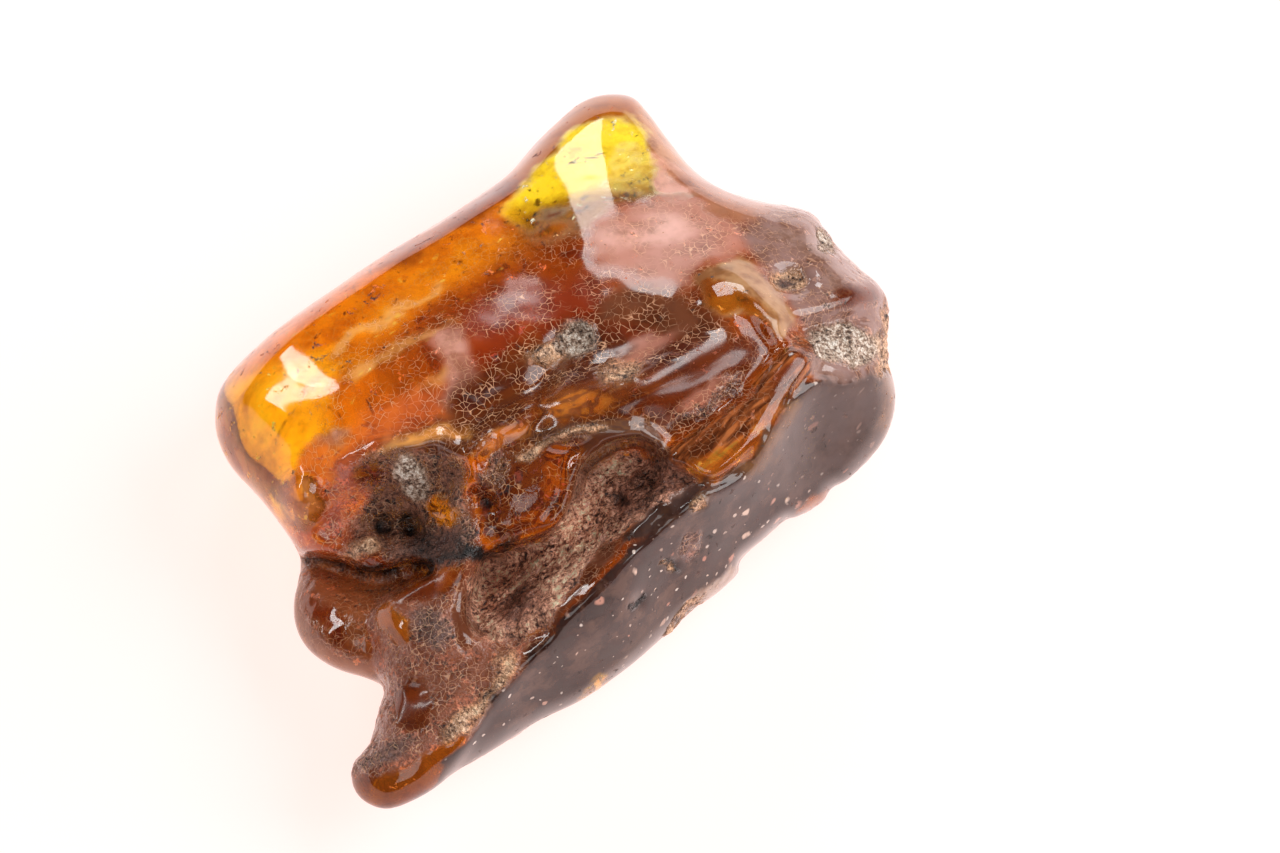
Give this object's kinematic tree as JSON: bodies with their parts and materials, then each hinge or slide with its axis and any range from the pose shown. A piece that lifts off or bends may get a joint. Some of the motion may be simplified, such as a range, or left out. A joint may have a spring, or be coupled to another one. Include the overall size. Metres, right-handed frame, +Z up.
{
  "type": "baltic amber stone",
  "caption": "Raw lump of Baltic amber, part polished: a clear rounded dome above a dark crusted hollow and a smooth cut face, resting on a small flat spot.",
  "frame": {"origin": "middle of the stone's bounding box, on the surface it rests on", "axes": "+Z up, the shortest way through the stone; +Y away from the viewer of the picture, along the longest way, towards the peak of the clear dome; +X to the right in the picture, towards the pitted knob"},
  "size_m": [0.0575, 0.0676, 0.0235],
  "materials": {
    "amber": "tumbled to a shine on the dome and the cut face, rough weathered crust in the hollows"
  },
  "bodies": {
    "root": {"amber_stone": "amber"}
  },
  "joints": []
}
